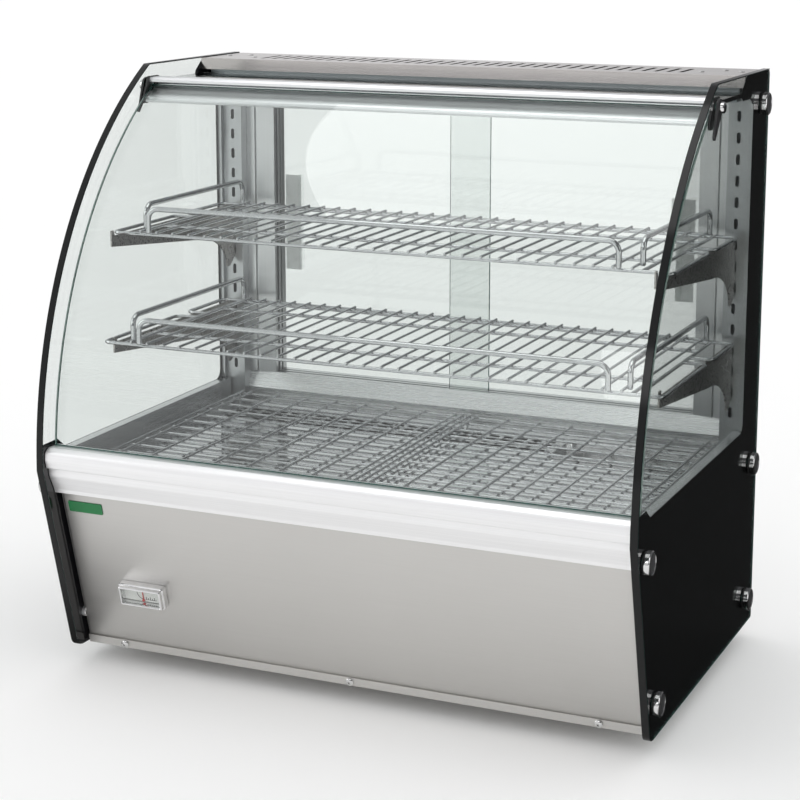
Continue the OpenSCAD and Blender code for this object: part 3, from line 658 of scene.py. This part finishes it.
def black_gloss(name, colour=(0.008, 0.008, 0.009), rough=(0.06, 0.12), shine=0.5):
    """Baked black enamel or edge paint."""
    finish, tree, shader = new_finish(name, Specular_IOR_Level=shine)
    specks = noise_on(tree, (60.0, 60.0, 60.0), 2.0)
    light = tuple(c * 1.3 for c in colour)
    tree.links.new(grey_ramp(tree, specks, [(0.35, colour), (0.7, light)]), shader.inputs["Base Color"])
    tree.links.new(spread(tree, specks, *rough), shader.inputs["Roughness"])
    return finish


side_pane = clear_glass("side_glass")
teal_edge = ground_edge("teal_edge", (0.035, 0.11, 0.095))
pale_edge = ground_edge("pale_edge", (0.42, 0.52, 0.48), (0.3, 0.4))
for side in ("left", "right"):
    pane = copy_mesh(f"side_glass_{side}")
    edge_faces(pane, 0)
    fit(f"{side}_curved_side_pane", pane, [side_pane, teal_edge], "case", "clear_glass", f"side_glass_{side}")
print_gap = 0.00005
print_front = black_gloss("print_through_glass", (0.003, 0.003, 0.0035), (0.6, 0.7), 0.0)
print_back = black_gloss("print_from_inside")
bm = copy_mesh("glass_prints")
bm.normal_update()
outward = [face for face in bm.faces if face.normal.x * face.calc_center_median().x > 0.1]
for face in outward:
    face.material_index = 1
for vert in {vert for face in outward for vert in face.verts}:
    vert.co.x -= math.copysign(print_gap, vert.co.x)
fit("baked_black_prints", bm, [print_back, print_front], "case", "black_print", "glass_prints")
edge_radius = 0.50685
edge_centre = Vector((0.2724, 0.2357))
knee_z = 0.243
pane_low, pane_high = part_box("side_glass_right")
trim_low, trim_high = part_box("edge_trims")
trim_thick = 0.0012
trim_corner = 0.012


def arc_line(centre, radius, z_low, z_high, steps):
    """Points of a curved glass edge that faces the front, from one height to another: depth and height."""
    first = math.asin((z_low - centre.y) / radius)
    last = math.asin((z_high - centre.y) / radius)
    turns = [first + (last - first) * i / steps for i in range(steps + 1)]
    return [Vector((centre.x - radius * math.cos(a), centre.y + radius * math.sin(a))) for a in turns]


def strip_along(bm, line, thick, x0, x1):
    """A strip that follows a line of depth and height, thick to the right of its way and wide along X."""
    ahead = [(b - a).normalized() for a, b in zip(line, line[1:])]
    rows = []
    for i, point in enumerate(line):
        before = ahead[max(i - 1, 0)]
        after = ahead[min(i, len(ahead) - 1)]
        way = (before + after).normalized()
        inward = Vector((way.y, -way.x)) * thick / max(way.dot(after), 0.3)
        inner = point + inward
        rows.append([
            bm.verts.new((x0, point.x, point.y)), bm.verts.new((x1, point.x, point.y)),
            bm.verts.new((x1, inner.x, inner.y)), bm.verts.new((x0, inner.x, inner.y)),
        ])
    skin(bm, rows, capped=True)


edge_arc = arc_line(edge_centre, edge_radius, knee_z, trim_high.z, 90)
slope_lean = 0.265
foot_y = edge_arc[0].x + slope_lean * (knee_z - trim_low.z)
foot_corner = bent_line(
    [(0, foot_y + 0.03, trim_low.z), (0, foot_y, trim_low.z), (0, *edge_arc[0])], trim_corner
)
edge_line = [Vector((p.y, p.z)) for p in foot_corner[1:-1]] + edge_arc + [Vector((trim_high.y, trim_high.z))]
bm = bmesh.new()
for x0, x1 in ((-pane_high.x, -pane_low.x), (pane_low.x, pane_high.x)):
    strip_along(bm, edge_line, trim_thick, x0, x1)
edge_enamel = black_gloss("edge_enamel", (0.004, 0.0045, 0.0045), (0.08, 0.14), 0.3)
ease_edges(fit("black_glass_edges", bm, [edge_enamel], "case", "black_edging", "edge_trims"), 0.0005)

# Stand-offs: each side glass is clamped to the housing by five studs with polished caps. A soft washer
# lies under each cap and a spacer keeps the glass off the sheet.
caps_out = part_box("standoff_caps")[1].x
stud_places = [(0.202, 0.633), (0.202, 0.218), (-0.208, 0.222), (0.195, 0.056), (-0.162, 0.06)]
washer_thick = 0.0015
cap_back = pane_high.x + washer_thick
cap_thick = caps_out - cap_back
cap_radius = 0.013
cap_profile = [
    (0, 0), (cap_radius - 0.0006, 0), (cap_radius, 0.0006), (cap_radius, cap_thick - 0.0014),
    (cap_radius - 0.0004, cap_thick - 0.0008), (cap_radius - 0.0011, cap_thick - 0.0002),
    (cap_radius - 0.0017, cap_thick), (cap_radius - 0.0021, cap_thick - 0.0002),
    (cap_radius - 0.0023, cap_thick - 0.0006), (0, cap_thick - 0.0006),
]
cap_face = brushed_steel("cap_face", (240.0, 240.0, 240.0), (0.4, 0.405, 0.415), (0.34, 0.44))
bm = bmesh.new()
for side in (-1, 1):
    for y, z in stud_places:
        faces = turned(bm, cap_profile, (side * cap_back, y, z), (side, 0, 0), 64)
        for face in faces[-64:]:
            face.material_index = 1
smooth(fit("standoff_cap_discs", bm, [polished, cap_face], "case", "polished_steel", "standoff_caps"))
coat(rubber, "standoff_washers")
coat(polished, "standoff_studs")
coat(satin_profile, "standoff_spacers")

# Front glass: one sheet of 6 mm glass bent to an arc, glued into an aluminium rail at its top. The rail
# turns on two pins that pass through the side glasses, so that the glass lifts up for cleaning.
window_radius = 0.488
window_thick = 0.006
window_low, window_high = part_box("front_glass")
window_top_turn = 57.6
window_top = edge_centre.y + window_radius * math.sin(math.radians(window_top_turn))
bm = bmesh.new()
window_line = arc_line(edge_centre, window_radius, window_low.z, window_top, 90)
strip_along(bm, window_line, window_thick, window_low.x, window_high.x)
bmesh.ops.recalc_face_normals(bm, faces=bm.faces)
for face in bm.faces:
    if abs(face.normal.x) > 0.5:
        face.material_index = 1
bent_pane = [clear_glass("bent_glass", 0.95), pale_edge, teal_edge]
front_pane = fit("bent_front_glass", bm, bent_pane, "front_window", "clear_glass", "front_glass")
ease_edges(front_pane, 0.0008)
front_pane.modifiers["eased_edges"].material = 2
rail_metal = drawn_aluminium("rail_metal", (0.86, 0.87, 0.88), (0.3, 0.38))
eased_copy("front_glass_rail", "glass_rail", rail_metal, "front_window", "aluminium_profile", 0.0002)
black_moulding = moulded_plastic("black_moulding", (0.02, 0.02, 0.021), 0.4)
eased_copy("rail_end_mouldings", "rail_end_caps", black_moulding, "front_window", "black_plastic", 0.0006)
pin_low, pin_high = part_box("pivot_pins")
pin_start = window_high.x
pin_length = pin_high.x - pin_start
pin_radius = 0.004
head_radius = 0.006
head_thick = 0.0048
pin_profile = [
    (0, 0), (pin_radius, 0), (pin_radius, pin_length - head_thick),
    (head_radius - 0.0005, pin_length - head_thick),
    (head_radius, pin_length - head_thick + 0.0005), (head_radius, pin_length - 0.0012),
    (head_radius - 0.0005, pin_length - 0.0004), (head_radius - 0.0014, pin_length), (0, pin_length),
]
pivot_y = (pin_low.y + pin_high.y) / 2
pivot_z = (pin_low.z + pin_high.z) / 2
bm = bmesh.new()
for side in (-1, 1):
    turned(bm, pin_profile, (side * pin_start, pivot_y, pivot_z), (side, 0, 0), 40)
smooth(fit("pivot_pin_pair", bm, [polished], "front_window", "polished_steel", "pivot_pins"))
coat(black_moulding, "pivot_bushes")
eased_copy("hinge_cover_plates", "hinge_plates", black_moulding, "case", "black_plastic", 0.0006)

# Top: a fixed strip of glass behind the rail, then a folded steel cover with a row of vent slots over
# the lamp, held by small screws at both ends.
eased_copy("top_glass_strip", "top_glass", clear_glass("top_pane"), "case", "clear_glass", 0.0005)
cover_steel = brushed_steel("cover_steel", (8.0, 500.0, 500.0), (0.6, 0.57, 0.555), (0.16, 0.24), 0.04, 0.015)
eased_copy("vented_top_cover", "top_cover", cover_steel, "case", "stainless", 0.0004)
cover_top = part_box("top_cover")[1].z
cover_fixings = ((0.28, 0.168), (0.3, 0.196), (0.322, 0.182))
cover_places = [(side * x, y, cover_top) for side in (-1, 1) for x, y in cover_fixings]
screws_on("top_cover_screws", "cover_screws", cover_places, (0, 0, 1), 0.0036, 0.001, 0.0016, 0.006)
# The lamp channel's dark grey is painted shade: it stands for the shadow in the gap under the cover's front
# flange.
channel_painted_shade = drawn_aluminium("channel_painted_shade", (0.34, 0.37, 0.38), (0.34, 0.42))
eased_copy("lamp_channel", "lamp_housing", channel_painted_shade, "case", "aluminium_profile", 0.0003)
opal, tree, shader = new_finish("opal_lens", Subsurface_Weight=0.3, IOR=1.45)
cloud = noise_on(tree, (30.0, 30.0, 30.0))
opal_tones = [(0.3, (0.82, 0.82, 0.78)), (0.7, (0.88, 0.88, 0.84))]
tree.links.new(grey_ramp(tree, cloud, opal_tones), shader.inputs["Base Color"])
tree.links.new(spread(tree, cloud, 0.3, 0.4), shader.inputs["Roughness"])
coat(opal, "lamp_lens")

# Back frame: two slotted aluminium uprights carry the shelf brackets, and a mitred sill, header and
# jambs make the tracks for the two sliding glass doors.
upright_metal = drawn_aluminium("upright_metal", (0.56, 0.57, 0.58), (0.3, 0.33), (700.0, 700.0, 3.0))
eased_copy("slotted_uprights", "uprights", upright_metal, "case", "aluminium_profile", 0.0003)
frame_metal = drawn_aluminium("frame_metal", (0.84, 0.845, 0.85), (0.22, 0.32))
jamb_metal = drawn_aluminium("jamb_metal", (0.84, 0.845, 0.85), (0.28, 0.31), (700.0, 700.0, 3.0))
eased_copy("door_sill_track", "door_sill", frame_metal, "case", "aluminium_profile", 0.0003)
eased_copy("door_header_track", "door_header", frame_metal, "case", "aluminium_profile", 0.0003)
eased_copy("door_jamb_tracks", "door_jambs", jamb_metal, "case", "aluminium_profile", 0.0003)
door_pane = clear_glass("door_glass", 0.86, 14.0)
acrylic, tree, shader = new_finish("acrylic_pull", IOR=1.49, Alpha=0.07)
rubbed = noise_on(tree, (90.0, 90.0, 90.0))
acrylic_tones = [(0.3, (0.6, 0.63, 0.62)), (0.7, (0.7, 0.73, 0.72))]
tree.links.new(grey_ramp(tree, rubbed, acrylic_tones), shader.inputs["Base Color"])
tree.links.new(spread(tree, rubbed, 0.03, 0.12), shader.inputs["Roughness"])
for side in ("left", "right"):
    bm = copy_mesh(f"door_{side}")
    edge_faces(bm, 1)
    finishes = [door_pane, teal_edge]
    door = fit(f"{side}_sliding_glass", bm, finishes, f"{side}_door", "clear_glass", f"door_{side}")
    ease_edges(door, 0.0004)
    eased_copy(f"{side}_finger_pull", f"door_{side}_handle", acrylic, f"{side}_door", "clear_acrylic", 0.0003)

# Shelves: each is a frame of 4 mm rod with 3 mm wires welded across it, and rod guards along the front
# and both sides. Two bent loops at each end rest on steel brackets that hook into the uprights.
bracket_tone = (0.42, 0.4, 0.385)
bracket_steel = brushed_steel("bracket_steel", (12.0, 400.0, 400.0), bracket_tone, (0.24, 0.34), 0.04, 0.015)
shelf_wire = 0.0015
frame_rod = 0.002
guard_rod = 0.003
guard_bend = 0.012
front_half = 0.274
wire_pitch = 0.0205
rod_drop = 0.003
rod_bend = 0.008
loop_gap = (0.045, 0.07)
cross_rods = (0.065, 0.06, 0.012)
for tier in ("upper", "lower"):
    eased_copy(f"{tier}_shelf_arms", f"{tier}_brackets", bracket_steel, "case", "stainless", 0.0004)
    low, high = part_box(f"{tier}_shelf_grid")
    wire_z = high.z - shelf_wire
    rod_z = wire_z - rod_drop
    front = low.y + 0.002
    rear = high.y - 0.002
    loop_rear = rear - 0.006
    loop_x = high.x - frame_rod
    half = loop_x - 0.026
    wires = math.floor((half - 0.004) / wire_pitch)
    bm = bmesh.new()
    side_path = [(half, loop_gap[0]), (loop_x, loop_gap[0]), (loop_x, front)]
    front_path = side_path + [(-x, y) for x, y in reversed(side_path)]
    rear_path = [(half, front), (half, rear), (-half, rear), (-half, front)]
    paths = [front_path, rear_path]
    for side in (-1, 1):
        corners = [(half, loop_gap[1]), (loop_x, loop_gap[1]), (loop_x, loop_rear), (half, loop_rear)]
        paths.append([(side * x, y) for x, y in corners])
    for path in paths:
        draw_wire(bm, bent_line([(x, y, rod_z) for x, y in path], rod_bend), frame_rod)
    for k in range(-wires, wires + 1):
        x = k * wire_pitch
        draw_wire(bm, [Vector((x, low.y, wire_z)), Vector((x, high.y, wire_z))], shelf_wire)
    for y in (front + cross_rods[0], rear - cross_rods[1], rear - cross_rods[2]):
        draw_wire(bm, [Vector((-half, y, rod_z)), Vector((half, y, rod_z))], frame_rod)
    smooth(fit(f"{tier}_shelf_wires", bm, [chrome], "case", "chromed_wire", f"{tier}_shelf_grid"))
    guard_low, guard_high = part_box(f"{tier}_shelf_guards")
    rail_z = guard_high.z - guard_rod
    foot_z = guard_low.z
    front_y = guard_low.y + guard_rod
    side_x = guard_high.x - guard_rod
    side_front = {"upper": -0.072, "lower": -0.106}[tier]
    side_rear = rear - 0.008
    bm = bmesh.new()
    guards = [((-front_half, front_y), (front_half, front_y))]
    guards += [((x, side_front), (x, side_rear)) for x in (-side_x, side_x)]
    for start, end in guards:
        hoop = [(*start, foot_z), (*start, rail_z), (*end, rail_z), (*end, foot_z)]
        draw_wire(bm, bent_line(hoop, guard_bend), guard_rod, 16)
    smooth(fit(f"{tier}_guard_rails", bm, [chrome], "case", "chromed_wire", f"{tier}_shelf_guards"))

# Heater and fan: a bent tubular element under the deck's perforations, with a square fan below it that
# drives the warm air round the case.
heater, tree, shader = new_finish("heater_sheath", Metallic=1.0)
tints = noise_on(tree, (18.0, 18.0, 18.0), 5.0)
sheath_tones = [(0.3, (0.12, 0.1, 0.09)), (0.5, (0.22, 0.17, 0.13)), (0.7, (0.2, 0.19, 0.2))]
tree.links.new(grey_ramp(tree, tints, sheath_tones), shader.inputs["Base Color"])
tree.links.new(spread(tree, tints, 0.4, 0.6), shader.inputs["Roughness"])
coat(heater, "heating_element")
coat(black_moulding, "fan_frame", "fan_rotor", "thermostat_body")

# Controls on the rear panel: a thermostat knob with a ribbed skirt, two rocker switches in one frame
# each, and the cable gland that the mains lead goes through.
knob_low, knob_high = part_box("thermostat_knob")
knob_x = (knob_low.x + knob_high.x) / 2
knob_z = (knob_low.z + knob_high.z) / 2
eased_copy("thermostat_grip", "thermostat_knob", black_moulding, "thermostat_dial", "black_plastic", 0.0009)
white_ink = moulded_plastic("white_ink", (0.8, 0.8, 0.78), 0.5)
bm = bmesh.new()
line = bmesh.ops.create_cube(bm, size=1.0)["verts"]
bmesh.ops.scale(bm, verts=line, vec=(0.0014, 0.0003, 0.011))
bmesh.ops.translate(bm, verts=line, vec=(knob_x, knob_high.y - 0.0001, knob_z + 0.0085))
ease_edges(fit("knob_pointer_line", bm, [white_ink], "thermostat_dial", "dial_white"), 0.0001)
bm = bmesh.new()
ribs = 28
rib_circle = 0.0152
rib_ends = (knob_low.y + 0.0042, knob_high.y - 0.003)
for k in range(ribs):
    a = 2 * math.pi * k / ribs
    x = knob_x + rib_circle * math.cos(a)
    z = knob_z + rib_circle * math.sin(a)
    draw_wire(bm, [Vector((x, y, z)) for y in rib_ends], 0.0006, 8)
smooth(fit("knob_grip_ribs", bm, [black_moulding], "thermostat_dial", "black_plastic"))
eased_copy("switch_frames", "switch_housings", black_moulding, "case", "black_plastic", 0.0005)
green_rocker = moulded_plastic("green_rocker", (0.03, 0.3, 0.08), 0.25)
eased_copy("power_rocker_cap", "power_switch", green_rocker, "power_rocker", "green_rocker", 0.0006)
eased_copy("light_rocker_cap", "light_switch", black_moulding, "light_rocker", "black_plastic", 0.0006)
eased_copy("cable_gland_body", "cable_gland", black_moulding, "case", "black_plastic", 0.0005)

# Thermometer: a plated frame in two steps, set on the front panel, with a glass window over a printed
# card, a bimetal strip bent round to its post and a red pointer.
dial_paint = moulded_plastic("dial_card", (0.86, 0.86, 0.84), 0.5)
coat(dial_paint, "thermometer_dial")
red_paint = moulded_plastic("pointer_paint", (0.62, 0.03, 0.025), 0.35)
coat(red_paint, "thermometer_pointer")
dial_low, dial_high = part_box("thermometer_dial")
dial_centre = (dial_low + dial_high) / 2
panel_turn = Matrix.Rotation(panel_tilt, 4, "X")
card_out = 0.0035
to_panel = Matrix.Translation(dial_centre) @ panel_turn @ Matrix.Rotation(math.radians(90), 4, "X")
to_panel = to_panel @ Matrix.Translation((0, 0, -card_out))
half_frame = Vector((0.0285, 0.0135, 0))
# inset from the frame's outer edge, corner radius and height over the panel of each step, outside then in
frame_steps = [
    (0.0, 0.003, 0.0002), (0.0, 0.003, 0.0072), (0.0004, 0.0028, 0.0079), (0.0013, 0.0024, 0.0082),
    (0.0015, 0.0022, 0.0086), (0.0015, 0.0022, 0.0106), (0.0019, 0.002, 0.0119), (0.0027, 0.0017, 0.0127),
    (0.0036, 0.0013, 0.0128), (0.0042, 0.001, 0.0122), (0.0045, 0.0008, 0.0108), (0.0046, 0.0006, 0.0042),
    (0.0046, 0.0006, 0.0002),
]
bm = bmesh.new()
rings = stepped_rings(bm, -half_frame, half_frame, frame_steps, 5)
skin(bm, rings + rings[:1])
bm.transform(to_panel)
bezel_finish = bright_metal("plated_bezel", (0.84, 0.84, 0.845), (0.06, 0.12), 120.0)
smooth(fit("thermometer_frame", bm, [bezel_finish], "case", "chromed_wire", "thermometer_bezel"), 24)


def card_strip(bm, line, wide, out, thick=0.0001):
    """A flat strip along a line of places on the card: to the right of its middle and up from it."""
    ahead = [(b - a).normalized() for a, b in zip(line, line[1:])]
    rows = []
    for i, point in enumerate(line):
        way = (ahead[max(i - 1, 0)] + ahead[min(i, len(ahead) - 1)]).normalized()
        across = Vector((-way.y, way.x)) * wide / 2
        low = [(point + across, out), (point - across, out)]
        high = [(point - across, out + thick), (point + across, out + thick)]
        rows.append([bm.verts.new((p.x, p.y, level)) for p, level in low + high])
    skin(bm, rows, capped=True)


card_face = 0.004
marks_start = 0.0035
marks_foot = -0.0052
mark_pitch = 0.0026
mark_count = 5
bm = bmesh.new()
for k in range(mark_count):
    x = marks_start + k * mark_pitch
    tall = 0.0032 if k % 2 == 0 else 0.0018
    card_strip(bm, [Vector((x, marks_foot)), Vector((x, marks_foot + tall))], 0.0007, card_face)
base_line = [(marks_start - 0.0012, -0.0055), (marks_start + mark_count * mark_pitch, -0.0055)]
card_strip(bm, [Vector(point) for point in base_line], 0.0005, card_face)
for x in (0.0045, 0.0125):
    card_strip(bm, [Vector((x, 0.004)), Vector((x, 0.0058))], 0.0011, card_face)
bm.transform(to_panel)
black_ink = moulded_plastic("black_ink", (0.015, 0.015, 0.015), 0.5)
fit("dial_scale_marks", bm, [black_ink], "case", "black_print")
bm = bmesh.new()
bend_radius = 0.009
bend_turns = [math.radians(180 + 9 * k) for k in range(9)]
bend = [Vector((0.0015 + bend_radius * math.cos(a), 0.003 + bend_radius * math.sin(a))) for a in bend_turns]
card_strip(bm, [Vector((bend[0].x, 0.0078))] + bend, 0.0008, card_face)
bm.transform(to_panel)
strip_metal = brushed_steel("bimetal_strip", (300.0, 300.0, 300.0), (0.1, 0.095, 0.09), (0.35, 0.45))
fit("bimetal_strip", bm, [strip_metal], "case", "stainless")
bm = bmesh.new()
half_window = Vector((0.0238, 0.0088, 0))
window_faces = (0.0094, 0.0102)
window_rings = [rounded_loop(bm, -half_window, half_window, 0.0006, out, 3) for out in window_faces]
skin(bm, window_rings, capped=True)
bm.transform(to_panel)
window_glass = clear_glass("thermometer_glass", 0.98)
ease_edges(fit("thermometer_window", bm, [window_glass], "case", "clear_glass"), 0.0001)

# Name plate: a plain green plate with no lettering, glued near the panel's top left corner.
label_paint = moulded_plastic("label_paint", (0.006, 0.16, 0.045), 0.4)
eased_copy("plain_green_plate", "label_plate", label_paint, "case", "label_green", 0.0003)
